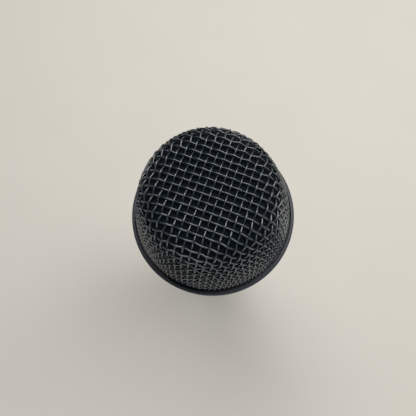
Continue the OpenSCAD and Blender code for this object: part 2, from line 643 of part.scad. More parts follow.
handle();
switch_plate();
switch_body();
switch_tags();
switch_screws();
switch_slider();
connector_insert();
contact_pins();
insert_screw();
transformer_core();
transformer_bobbin();
transformer_winding();
transformer_sleeve();
lead_wires();
shock_mount();
capsule_shell();
rear_chamber();
felt_plug();
terminal_board();
solder_lugs();
yoke_cup();
magnet();
pole_piece();
top_plate();
voice_coil();
diaphragm();
diaphragm_surround();
cloth_disc();
front_cap();
neck_gasket();
grille_collar();
lower_basket();
grille_ring();
upper_basket();
foam_windscreen();
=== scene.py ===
"""A handheld dynamic microphone: woven grille, foam, ring, handle and inner parts, dressed."""

import logging
import math
from dataclasses import dataclass, field
from enum import Enum
from typing import Any

import bpy
import numpy as np
from mathutils import Matrix, Vector


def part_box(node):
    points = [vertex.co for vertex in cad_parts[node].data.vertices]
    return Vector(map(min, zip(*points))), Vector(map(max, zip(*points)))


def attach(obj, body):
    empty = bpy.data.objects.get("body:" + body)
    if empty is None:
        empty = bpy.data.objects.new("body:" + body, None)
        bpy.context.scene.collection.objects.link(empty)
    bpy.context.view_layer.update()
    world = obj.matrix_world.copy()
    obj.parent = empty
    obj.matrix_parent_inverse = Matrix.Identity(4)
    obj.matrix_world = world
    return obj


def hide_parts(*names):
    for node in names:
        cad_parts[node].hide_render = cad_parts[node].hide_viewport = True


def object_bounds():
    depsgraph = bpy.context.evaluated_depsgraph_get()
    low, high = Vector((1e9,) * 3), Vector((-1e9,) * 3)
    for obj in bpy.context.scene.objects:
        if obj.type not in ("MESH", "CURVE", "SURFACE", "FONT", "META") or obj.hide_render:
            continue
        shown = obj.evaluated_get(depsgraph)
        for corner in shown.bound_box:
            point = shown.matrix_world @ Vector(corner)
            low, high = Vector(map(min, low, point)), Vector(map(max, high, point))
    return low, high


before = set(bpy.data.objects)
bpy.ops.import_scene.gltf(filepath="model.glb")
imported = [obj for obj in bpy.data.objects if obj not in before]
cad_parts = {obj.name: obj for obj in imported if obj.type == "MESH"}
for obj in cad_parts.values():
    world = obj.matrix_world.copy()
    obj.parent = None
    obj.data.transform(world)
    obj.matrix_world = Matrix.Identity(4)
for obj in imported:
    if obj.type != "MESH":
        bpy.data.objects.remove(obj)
CAD_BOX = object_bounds()
log = logging.getLogger("microphone")
Piece = bpy.types.Object
Triple = tuple[float, float, float]
NODES: dict[str, Piece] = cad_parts
MM = 0.001
LINE_STEP = 0.3  # distance between the points of an outline, in mm

# Sockets that have no name of their own
MIX_SHARE, MIX_A, MIX_B, MIX_RESULT = 0, 6, 7, 2
ATTRIBUTE_FACTOR = 2
OBJECT_PLACE = 3


# Shader maths


class Sock:
    """A number, colour or vector socket that takes part in Python expressions."""

    def __init__(self, tree: "Nodes", socket: Any) -> None:
        """Keeps the node tree that the expression's nodes go into.

        Args:
            tree: the node maker.
            socket: the output socket that holds the value.
        """
        self.tree, self.socket = tree, socket

    def _math(self, operation: str, *values: Any) -> "Sock":
        """One Math node on these values."""
        return self.tree.make("ShaderNodeMath", {"operation": operation}, dict(enumerate(values)))[0]

    def __add__(self, other: Any) -> "Sock":
        """self + other."""
        return self._math("ADD", self, other)

    __radd__ = __add__

    def __sub__(self, other: Any) -> "Sock":
        """self - other."""
        return self._math("SUBTRACT", self, other)

    def __rsub__(self, other: Any) -> "Sock":
        """other - self."""
        return self._math("SUBTRACT", other, self)

    def __mul__(self, other: Any) -> "Sock":
        """self * other."""
        return self._math("MULTIPLY", self, other)

    __rmul__ = __mul__

    def wave(self, length: float) -> "Sock":
        """A sine of this length, between 0 and 1."""
        return self._math("SINE", self * (2 * math.pi / length)) * 0.5 + 0.5

    def steps(self, low: float, high: float) -> "Sock":
        """Rises smoothly from 0 at low to 1 at high.

        Args:
            low: the value where the result is still 0.
            high: the value where the result has reached 1.

        Returns:
            The eased value, between 0 and 1.
        """
        sockets = {"Value": self, "From Min": low, "From Max": high}
        return self.tree.make("ShaderNodeMapRange", {"interpolation_type": "SMOOTHSTEP"}, sockets)[0]


class Nodes:
    """Makes the nodes of one material."""

    def __init__(self, material: bpy.types.Material) -> None:
        """Starts the material again with an empty tree.

        Args:
            material: the material whose nodes are made.
        """
        material.use_nodes = True
        self.tree = material.node_tree
        self.tree.nodes.clear()

    def make(self, kind: str, settings: dict[str, Any] | None = None,
             sockets: dict[Any, Any] | None = None) -> list[Sock]:
        """Adds one node.

        Args:
            kind: the node's type.
            settings: its settings, set before its sockets.
            sockets: its inputs by name or number, each a value or a link.

        Returns:
            Its outputs that are in use, in order.
        """
        node = self.tree.nodes.new(kind)
        for name, value in (settings or {}).items():
            setattr(node, name, value)
        self._feed(node, sockets or {})
        return [Sock(self, s) for s in node.outputs if s.enabled]

    def _feed(self, node: bpy.types.Node, sockets: dict[Any, Any]) -> None:
        """Sets or links a node's inputs.

        Args:
            node: the node.
            sockets: its inputs by name or number, each a value or a link.
        """
        for name, value in sockets.items():
            if isinstance(value, Sock):
                self.tree.links.new(value.socket, node.inputs[name])
            else:
                node.inputs[name].default_value = value

    def place(self) -> Sock:
        """The point on the piece, in metres, in the shared frame."""
        return self.make("ShaderNodeTexCoord")[OBJECT_PLACE]

    def along(self, stretch: Triple) -> Sock:
        """The point on the piece, scaled along X, Y and Z."""
        return self.make("ShaderNodeMapping", None, {"Vector": self.place(), "Scale": stretch})[0]

    def noise(self, size: float, detail: float = 3.0, at: Sock | None = None) -> Sock:
        """Cloudy noise between 0 and 1.

        Args:
            size: the size of a cloud in metres, or of a unit of "at".
            detail: how many finer layers it has.
            at: where it is read, or None for the point on the piece.

        Returns:
            The noise.
        """
        return self.make("ShaderNodeTexNoise", None, {
            "Vector": at or self.place(), "Scale": 1 / size, "Detail": detail, "Roughness": 0.55})[0]

    def cells(self, size: float, feature: str = "F1") -> Sock:
        """Distance to the nearest cell point, in cell sizes.

        Args:
            size: the size of a cell in metres.
            feature: the kind of distance.

        Returns:
            The distance.
        """
        sockets = {"Vector": self.place(), "Scale": 1 / size}
        return self.make("ShaderNodeTexVoronoi", {"feature": feature}, sockets)[0]

    def blend(self, share: Any, a: Any, b: Any) -> Sock:
        """A colour between a and b.

        Args:
            share: 0 for a, 1 for b.
            a: a colour or a link.
            b: a colour or a link.

        Returns:
            The mixed colour.
        """
        a, b = [(*c, 1.0) if isinstance(c, tuple) and len(c) == 3 else c for c in (a, b)]
        node = self.tree.nodes.new("ShaderNodeMix")
        node.data_type = "RGBA"
        self._feed(node, {MIX_SHARE: share, MIX_A: a, MIX_B: b})
        return Sock(self, node.outputs[MIX_RESULT])

    def bump(self, height: Sock, depth: float, strength: float = 1.0) -> Sock:
        """A normal that follows a height.

        Args:
            height: the height, from 0 to 1.
            depth: the height of 1, in metres.
            strength: how much of it counts.

        Returns:
            The normal.
        """
        sockets = {"Height": height, "Distance": depth, "Strength": strength}
        return self.make("ShaderNodeBump", None, sockets)[0]

    def surface(self, **sockets: Any) -> None:
        """Ends the tree in one Principled shader.

        Args:
            sockets: its inputs, with spaces written as underscores.
        """
        values = {name.replace("_", " "): (*v, 1.0) if isinstance(v, tuple) and len(v) == 3 else v
                  for name, v in sockets.items()}
        shader = self.make("ShaderNodeBsdfPrincipled", None, values)[0]
        self.make("ShaderNodeOutputMaterial", None, {"Surface": shader})


# Finishes


@dataclass(frozen=True)
class Finish:
    """A finish that any number of pieces share.

    Attributes:
        name: the material's name.
        colour: its main colour.
        second: the colour that it varies towards.
        rough: its roughness.
    """

    name: str
    colour: Triple
    second: Triple
    rough: float

    def paint(self, nodes: Nodes) -> None:
        """Builds the node tree.

        Args:
            nodes: the node maker.
        """
        raise NotImplementedError

    def material(self) -> bpy.types.Material:
        """The material, made the first time that it is asked for."""
        found = bpy.data.materials.get("finish_" + self.name)
        if found is None:
            found = bpy.data.materials.new("finish_" + self.name)
            found.diffuse_color = (*self.colour, 1.0)
            self.paint(Nodes(found))
        return found

    def dress(self, piece: Piece) -> None:
        """Puts the finish on every slot of a piece.

        Args:
            piece: a mesh object.
        """
        if not piece.data.materials:
            piece.data.materials.append(self.material())
        for slot in piece.material_slots:
            slot.material = self.material()


@dataclass(frozen=True)
class WirePaint(Finish):
    """Dark lacquer over steel wire, thinner and a little paler on the crowns: partly wear of the lacquer,
    partly a painted highlight where the outward crowns face the light.
    """

    # colour of the crowns: partly worn lacquer, partly a painted highlight
    worn_and_lit_crown: Triple = (0.022, 0.027, 0.033)

    def paint(self, nodes: Nodes) -> None:
        """Builds the node tree.

        Args:
            nodes: the node maker.
        """
        crown = nodes.make("ShaderNodeAttribute", {"attribute_name": "crown"})[ATTRIBUTE_FACTOR]
        cloud = nodes.noise(0.006)
        grain = nodes.noise(0.00025, 2.0)
        # outward crowns painted paler: partly wear, partly a painted highlight where they face the light
        crown_wear_and_highlight = crown.steps(0.55, 1.0) * cloud.steps(0.35, 0.7)
        base = nodes.blend(cloud, self.colour, self.second)
        nodes.surface(
            Base_Color=nodes.blend(crown_wear_and_highlight, base, self.worn_and_lit_crown),
            Metallic=0.1 * crown_wear_and_highlight,
            Roughness=self.rough + 0.04 * grain - 0.03 * crown_wear_and_highlight,
            Specular_IOR_Level=1.0, Coat_Weight=0.5, Coat_Roughness=0.3,
            Normal=nodes.bump(grain, 0.000001, 0.2))


@dataclass(frozen=True)
class SprayPaint(Finish):
    """Satin enamel with a fine orange-peel grain."""

    grain: float = 0.0005
    depth: float = 0.00001
    coat: float = 0.2

    def paint(self, nodes: Nodes) -> None:
        """Builds the node tree.

        Args:
            nodes: the node maker.
        """
        cloud = nodes.noise(0.012, 4.0)
        peel = nodes.noise(self.grain, 2.0)
        speck = nodes.cells(0.00022)
        nodes.surface(
            Base_Color=nodes.blend(cloud * 0.7 + peel * 0.3, self.colour, self.second),
            Metallic=0.25,
            Roughness=self.rough + 0.1 * cloud + 0.05 * peel,
            Coat_Weight=self.coat, Coat_Roughness=0.35,
            Normal=nodes.bump(peel * 0.7 + speck * 0.3, self.depth, 0.6))


@dataclass(frozen=True)
class Moulded(Finish):
    """Moulded plastic or rubber with a fine spark-eroded grain."""

    grain: float = 0.00035
    depth: float = 0.000012

    def paint(self, nodes: Nodes) -> None:
        """Builds the node tree.

        Args:
            nodes: the node maker.
        """
        cloud = nodes.noise(0.008)
        fine = nodes.noise(self.grain, 3.0)
        nodes.surface(
            Base_Color=nodes.blend(cloud, self.colour, self.second),
            Roughness=self.rough + 0.15 * fine,
            Normal=nodes.bump(fine, self.depth, 0.7))


@dataclass(frozen=True)
class Metal(Finish):
    """Bare, plated or blackened metal with fine turning marks round the axis."""

    marks: Triple = (300.0, 300.0, 9000.0)
    metallic: float = 1.0

    def paint(self, nodes: Nodes) -> None:
        """Builds the node tree.

        Args:
            nodes: the node maker.
        """
        cloud = nodes.noise(0.007, 4.0)
        lines = nodes.noise(1.0, 3.0, nodes.along(self.marks))
        nodes.surface(
            Base_Color=nodes.blend(cloud * 0.6 + lines * 0.4, self.colour, self.second),
            Metallic=self.metallic,
            Roughness=self.rough + 0.15 * lines + 0.08 * cloud,
            Normal=nodes.bump(lines, 0.000006, 0.5))


@dataclass(frozen=True)
class Foam(Finish):
    """Open-cell foam: dark cells between paler struts."""

    cell: float = 0.00055

    def paint(self, nodes: Nodes) -> None:
        """Builds the node tree.

        Args:
            nodes: the node maker.
        """
        warp = nodes.noise(0.0012, 2.0)
        strut = nodes.cells(self.cell, "DISTANCE_TO_EDGE")
        pore = (strut + 0.1 * warp).steps(0.05, 0.32)
        nodes.surface(
            Base_Color=nodes.blend(pore, self.second, self.colour),
            Roughness=self.rough,
            Specular_IOR_Level=0.25,
            Normal=nodes.bump(1 - pore, 0.0002, 0.9))


@dataclass(frozen=True)
class Fibre(Finish):
    """Felt or fine cloth: crossed fibres with a soft sheen."""

    thread: float = 0.0003

    def paint(self, nodes: Nodes) -> None:
        """Builds the node tree.

        Args:
            nodes: the node maker.
        """
        fine, coarse = 1 / self.thread, 0.15 / self.thread
        across = nodes.noise(1.0, 2.0, nodes.along((fine, coarse, coarse)))
        down = nodes.noise(1.0, 2.0, nodes.along((coarse, fine, coarse)))
        weave = across * 0.5 + down * 0.5
        nodes.surface(
            Base_Color=nodes.blend(weave, self.colour, self.second),
            Roughness=self.rough, Sheen_Weight=0.3, Sheen_Roughness=0.5,
            Normal=nodes.bump(weave, 0.00005, 0.8))


@dataclass(frozen=True)
class Layered(Finish):
    """Thin sheets or turns of wire stacked along one axis."""

    pitch: float = 0.00035
    axis: str = "Y"
    metallic: float = 0.0

    def paint(self, nodes: Nodes) -> None:
        """Builds the node tree.

        Args:
            nodes: the node maker.
        """
        point = nodes.make("ShaderNodeSeparateXYZ", None, {"Vector": nodes.place()})["XYZ".index(self.axis)]
        cloud = nodes.noise(0.004)
        wave = point.wave(self.pitch)
        nodes.surface(
            Base_Color=nodes.blend(wave * 0.8 + cloud * 0.2, self.colour, self.second),
            Metallic=self.metallic,
            Roughness=self.rough + 0.1 * cloud,
            Normal=nodes.bump(wave, self.pitch / 6, 0.8))


class Paints(Enum):
    """Every finish of the microphone."""

    WIRE = WirePaint("black_lacquered_wire", (0.001, 0.008, 0.017), (0.003, 0.012, 0.022), 0.36)
    RING = SprayPaint("ring_enamel", (0.003, 0.005, 0.012), (0.005, 0.008, 0.017),
                      0.36, 0.0004, 0.000008, 0.05)
    HANDLE = SprayPaint("handle_enamel", (0.013, 0.015, 0.022), (0.020, 0.023, 0.031),
                        0.36, 0.0005, 0.000014, 0.3)
    COLLAR = SprayPaint("collar_enamel", (0.008, 0.010, 0.018), (0.012, 0.015, 0.025),
                        0.38, 0.0004, 0.00001, 0.2)
    FOAM = Foam("windscreen_foam", (0.0003, 0.0030, 0.0065), (0.0015, 0.0060, 0.0110), 0.95)
    PLASTIC = Moulded("black_nylon", (0.012, 0.012, 0.013), (0.020, 0.020, 0.022), 0.42)
    RUBBER = Moulded("black_rubber", (0.010, 0.010, 0.010), (0.018, 0.018, 0.018), 0.62, 0.0003, 0.00002)
    BOBBIN = Moulded("bobbin_nylon", (0.55, 0.52, 0.44), (0.62, 0.60, 0.52), 0.45)
    PHENOLIC = Moulded("terminal_board_resin", (0.19, 0.10, 0.035), (0.27, 0.15, 0.06), 0.4)
    FILM = Moulded("diaphragm_film", (0.62, 0.60, 0.55), (0.72, 0.70, 0.66), 0.18, 0.001, 0.000004)
    LEADS = Moulded("lead_sleeving", (0.30, 0.022, 0.018), (0.38, 0.035, 0.028), 0.4)
    STEEL = Metal("zinc_steel", (0.50, 0.51, 0.52), (0.38, 0.39, 0.41), 0.28)
    CAPSULE = Metal("capsule_alloy", (0.42, 0.43, 0.45), (0.32, 0.33, 0.35), 0.32)
    SCREW = Metal("blackened_steel", (0.035, 0.036, 0.040), (0.06, 0.06, 0.065), 0.35)
    GOLD = Metal("gold_plating", (0.83, 0.58, 0.22), (0.70, 0.46, 0.16), 0.16)
    MAGNET = Metal("magnet_alloy", (0.17, 0.175, 0.19), (0.11, 0.115, 0.125), 0.4)
    COPPER = Layered("enamelled_copper", (0.28, 0.09, 0.03), (0.62, 0.27, 0.11), 0.3, 0.00022, "Z", 0.85)
    LAMINATE = Layered("core_laminations", (0.16, 0.165, 0.175), (0.36, 0.365, 0.38), 0.4, 0.00035, "Y", 0.9)
    CLOTH = Fibre("dust_cloth", (0.015, 0.016, 0.018), (0.035, 0.036, 0.040), 0.85)
    FELT = Fibre("damping_felt", (0.22, 0.21, 0.18), (0.34, 0.32, 0.28), 0.95, 0.0002)
    SLEEVE = Moulded("shrink_sleeve", (0.02, 0.02, 0.022), (0.035, 0.035, 0.037), 0.35, 0.002, 0.00004)


# Woven grille


class Family(Enum):
    """The two families of wires in a plain weave."""

    WEFT = "weft"
    WARP = "warp"


class Former:
    """The round shape that the wire cloth is pressed over, from its crown out past its rim."""

    def __init__(self, line: np.ndarray, outward: float) -> None:
        """Measures the half outline.

        Args:
            line: radius and height of points along the half outline, from the axis outwards, in mm.
            outward: 1 where the crown is on top, -1 where it is at the bottom.
        """
        self.line = line
        steps = np.hypot(*np.diff(line, axis=0).T)
        self.run = np.concatenate([[0.0], np.cumsum(steps)])
        tangent = np.gradient(line, self.run, axis=0)
        tangent /= np.hypot(*tangent.T)[:, None]
        self.normal = outward * np.column_stack([-tangent[:, 1], tangent[:, 0]])

    def seat(self, points: np.ndarray) -> tuple[np.ndarray, np.ndarray, np.ndarray]:
        """Moves points onto the surface.

        Args:
            points: points near the surface, in mm.

        Returns:
            The nearest points on it, its outward normals there, and how far each lies along the outline.
        """
        radius = np.hypot(points[:, 0], points[:, 1])
        flat = np.column_stack([radius, points[:, 2]])
        gap = ((flat[:, None, :] - self.line[None, :, :]) ** 2).sum(2)
        near = np.clip(gap.argmin(1), 1, len(self.line) - 2)
        back, ahead = self.line[near - 1], self.line[near + 1]
        edge = ahead - back
        share = np.clip(((flat - back) * edge).sum(1) / (edge * edge).sum(1), 0, 1)
        run = self.run[near - 1] + share * (self.run[near + 1] - self.run[near - 1])
        return self.at(run, points[:, :2] / np.maximum(radius, 1e-9)[:, None]) + (run,)

    def at(self, run: np.ndarray, way: np.ndarray) -> tuple[np.ndarray, np.ndarray]:
        """Points and normals at given runs along the outline.

        Args:
            run: how far along the outline, in mm.
            way: the horizontal direction of each, of length 1.

        Returns:
            The points and the outward normals.
        """
        r, z = (np.interp(run, self.run, self.line[:, k]) for k in (0, 1))
        nr, nz = (np.interp(run, self.run, self.normal[:, k]) for k in (0, 1))
        return np.column_stack([way * r[:, None], z]), np.column_stack([way * nr[:, None], nz])


@dataclass
class WovenCloth:
    """Plain-woven wire cloth pressed over a round former, its cells shearing where the surface closes in.

    Attributes:
        former: the surface that the middle of the cloth lies on.
        rim: height where the cloth is cut, in mm.
        top_side: whether the crown is on top.
        pitch: distance between wires, in mm.
        wire: diameter of a wire, in mm.
        turn: angle of the weft from +X, in radians.
        start: place of the first crossing along weft and warp, in pitches.
        locked: smallest angle that a cell shears to, in degrees.
        stiff: how strongly a wire keeps straight, beside keeping its pitch.
        crimped: the shortest that pressing makes the span between two crossings, in pitches.
        held: how far from the crown the cloth keeps its first shape, in mm.
        weft_crimp: the weft's share of the rise and fall at the crossings; the warp has the rest.
        samples: points of a wire's centre line for each crossing.
        reach: the most crossings that a wire has on either side of its first.
        knots: the crossings, by their numbers along the weft and the warp.
    """

    former: Former
    rim: float
    top_side: bool = True
    pitch: float = 2.0
    wire: float = 0.5
    turn: float = 0.0
    start: tuple[float, float] = (0.0, 0.0)
    locked: float = 32.0
    stiff: float = 0.5
    crimped: float = 0.8
    held: float = 14.0
    weft_crimp: float = 0.42
    samples: int = 6
    reach: int = 40
    knots: dict[tuple[int, int], np.ndarray] = field(default_factory=dict)

    def _past(self, point: np.ndarray) -> float:
        """How far a point lies beyond the cut, in mm."""
        return self.rim - point[2] if self.top_side else point[2] - self.rim

    def _first_wire(self, offset: float, across: bool) -> dict[int, np.ndarray]:
        """The crossings along the straight first wire of a family.

        Args:
            offset: distance of its plane from the axis, in mm.
            across: True for the weft, which runs along local X.

        Returns:
            The crossings by their number along the wire.
        """
        found = {}
        begin = self.pitch * (self.start[0] if across else self.start[1])
        for way in (1, -1):
            t = begin + way * np.linspace(0, 60, 6001)
            radius = np.hypot(t, offset)
            keep = radius < self.former.line[-1, 0]
            t, radius = t[keep], radius[keep]
            height = np.interp(radius, self.former.line[:, 0], self.former.line[:, 1])
            run = np.concatenate([[0], np.cumsum(np.hypot(np.diff(t), np.diff(height)))])
            for k in range(int(run[-1] / self.pitch) + 1):
                place = np.interp(k * self.pitch, run, t)
                z = np.interp(k * self.pitch, run, height)
                found[way * k] = np.array([place, offset, z] if across else [offset, place, z])
        return found

    def _next(self, a: np.ndarray, b: np.ndarray, corner: np.ndarray) -> np.ndarray:
        """The crossing one pitch from a and from b, away from the corner behind them.

        Args:
            a: one neighbour.
            b: the other neighbour.
            corner: the crossing that a and b share.

        Returns:
            The new crossing.
        """
        point, normal, _ = self.former.seat((a + b - corner)[None])
        reach = max(self.pitch, 0.505 * float(np.linalg.norm(a - b)))
        for _ in range(7):
            p, n = point[0], normal[0]
            side = np.cross(n, [0.0, 0.0, 1.0])
            side /= max(np.linalg.norm(side), 1e-9)
            other = np.cross(n, side)
            to_a, to_b = p - a, p - b
            la, lb = np.linalg.norm(to_a), np.linalg.norm(to_b)
            rows = np.array([[to_a @ side / la, to_a @ other / la], [to_b @ side / lb, to_b @ other / lb]])
            step = np.linalg.lstsq(rows, np.array([reach - la, reach - lb]), rcond=1e-3)[0]
            length = float(np.hypot(*step))
            step *= min(1.0, 0.5 * self.pitch / max(length, 1e-9))
            point, normal, _ = self.former.seat((p + step[0] * side + step[1] * other)[None])
        return point[0]

    def weave(self) -> None:
        """Lays the net of crossings over the former, then eases the cells that would lock."""
        weft = self._first_wire(self.pitch * self.start[1], True)
        warp = self._first_wire(self.pitch * self.start[0], False)
        knots = {(i, 0): p for i, p in weft.items()}
        knots.update({(0, j): p for j, p in warp.items()})
        margin = 2.6 * self.pitch
        for si in (1, -1):
            for sj in (1, -1):
                for i in range(1, self.reach):
                    for j in range(1, self.reach):
                        a, b, c = (knots.get(k) for k in (
                            ((i - 1) * si, j * sj), (i * si, (j - 1) * sj), ((i - 1) * si, (j - 1) * sj)))
                        if a is None or b is None or c is None or min(self._past(a), self._past(b)) > margin:
                            break
                        knots[i * si, j * sj] = self._next(a, b, c)
        self.knots = knots
        self._ease()

    def _ease(self, rounds: int = 200) -> None:
        """Opens the cells sheared past the locking angle, keeping wires straight and near their pitch.

        Args:
            rounds: how many times every wire span and cell is corrected.
        """
        keys = sorted(self.knots)
        index = {k: n for n, k in enumerate(keys)}
        points = np.array([self.knots[k] for k in keys])
        spans, shorts, rows = [], [], []
        for (i, j), n in index.items():
            spans += [(n, index[k]) for k in ((i + 1, j), (i, j + 1)) if k in index]
            shorts += [(n, index[k]) for k in ((i + 1, j + 1), (i + 1, j - 1)) if k in index]
            rows += [(index[a], n, index[b]) for a, b in (((i - 1, j), (i + 1, j)), ((i, j - 1), (i, j + 1)))
                     if a in index and b in index]
        spans, shorts = np.array(spans), np.array(shorts)
        before, here, after = np.array(rows).T
        loose = np.clip((self.former.seat(points)[2] - self.held) / (3 * self.pitch), 0, 1)[:, None]
        shortest = self.crimped * self.pitch
        least = 2 * self.pitch * math.sin(math.radians(self.locked) / 2)
        for _ in range(rounds):
            move, count = np.zeros_like(points), np.zeros(len(points))
            for pairs, low, high, weight in (
                    (spans, shortest, self.pitch, 1.0), (shorts, least, math.inf, 1.5)):
                gap = points[pairs[:, 1]] - points[pairs[:, 0]]
                length = np.maximum(np.linalg.norm(gap, axis=1), 1e-6)
                pull = weight * 0.5 * (length - np.clip(length, low, high)) / length
                used = weight * (np.abs(pull) > 1e-9)
                for end, sign in ((0, 1), (1, -1)):
                    np.add.at(move, pairs[:, end], sign * pull[:, None] * gap)
                    np.add.at(count, pairs[:, end], used)
            np.add.at(move, here, self.stiff * ((points[before] + points[after]) / 2 - points[here]))
            np.add.at(count, here, self.stiff)
            points = self.former.seat(points + 0.9 * loose * move / np.maximum(count, 1)[:, None])[0]
        self.knots = {k: points[n] for k, n in index.items()}

    def _path(self, line: list[np.ndarray], first: int, rise: float) -> np.ndarray:
        """One wire's centre line, rising and falling over its crossings, cut at the rim.

        Args:
            line: its crossings in order.
            first: 0 if it passes over at the first, 1 if under.
            rise: how far it rises and falls from the surface, in mm.

        Returns:
            The points of the centre line, in mm.
        """
        p = np.array(line)
        before, after = np.vstack([2 * p[0] - p[1], p[:-1]]), np.vstack([p[1:], 2 * p[-1] - p[-2]])
        slope = (after - before) / 2
        rows, phase = [], []
        for k in range(len(p) - 1):
            t = np.arange(self.samples)[:, None] / self.samples
            rows.append((2 * t**3 - 3 * t**2 + 1) * p[k] + (t**3 - 2 * t**2 + t) * slope[k]
                        + (3 * t**2 - 2 * t**3) * p[k + 1] + (t**3 - t**2) * slope[k + 1])
            phase.append(k + first + t[:, 0])
        rows.append(p[-1:])
        phase.append(np.array([len(p) - 1 + first]))
        points, normals, _ = self.former.seat(np.vstack(rows))
        lift = np.cos(math.pi * np.concatenate(phase)) * rise
        points = points + normals * lift[:, None]
        past = np.array([self._past(q) for q in points])
        inside = np.flatnonzero(past <= 0)
        if len(inside) < 2:
            return np.zeros((0, 3))
        a, b = inside[0], inside[-1]
        rows = [points[a:b + 1]]
        for here, beyond, at_end in ((a, a - 1, False), (b, b + 1, True)):
            if 0 <= beyond < len(points):
                share = past[here] / (past[here] - past[beyond])
                cut = points[here] + share * (points[beyond] - points[here])
                rows = rows + [cut[None]] if at_end else [cut[None]] + rows
        return np.vstack(rows)

    def wires(self, family: Family) -> list[np.ndarray]:
        """The centre lines of one family of wires.

        Args:
            family: the weft or the warp.

        Returns:
            One array of points for each wire, in mm, in the shared frame.
        """
        lines: dict[int, list[tuple[int, np.ndarray]]] = {}
        for (i, j), p in sorted(self.knots.items()):
            wire, along = (j, i) if family is Family.WEFT else (i, j)
            lines.setdefault(wire, []).append((along, p))
        c, s = math.cos(self.turn), math.sin(self.turn)
        spin = np.array([[c, s, 0.0], [s, -c, 0.0], [0.0, 0.0, 1.0]])
        rise = self.wire * (self.weft_crimp if family is Family.WEFT else 1 - self.weft_crimp)
        found = []
        for wire, marks in sorted(lines.items()):
            marks.sort(key=lambda m: m[0])
            if len(marks) < 3:
                continue
            under = (wire + marks[0][0] + (family is Family.WEFT)) % 2
            path = self._path([p for _, p in marks], under, rise)
            if len(path) > 2:
                found.append(path @ spin)
        return found


# Modelling with Blender's own tools


def dress_nodes(finishes: dict[str, Paints]) -> None:
    """Dresses frame nodes.

    Args:
        finishes: the finish of each, by the node's name.
    """
    for node, paint in finishes.items():
        paint.value.dress(NODES[node])
        log.info("%s: %s", node, paint.value.name)


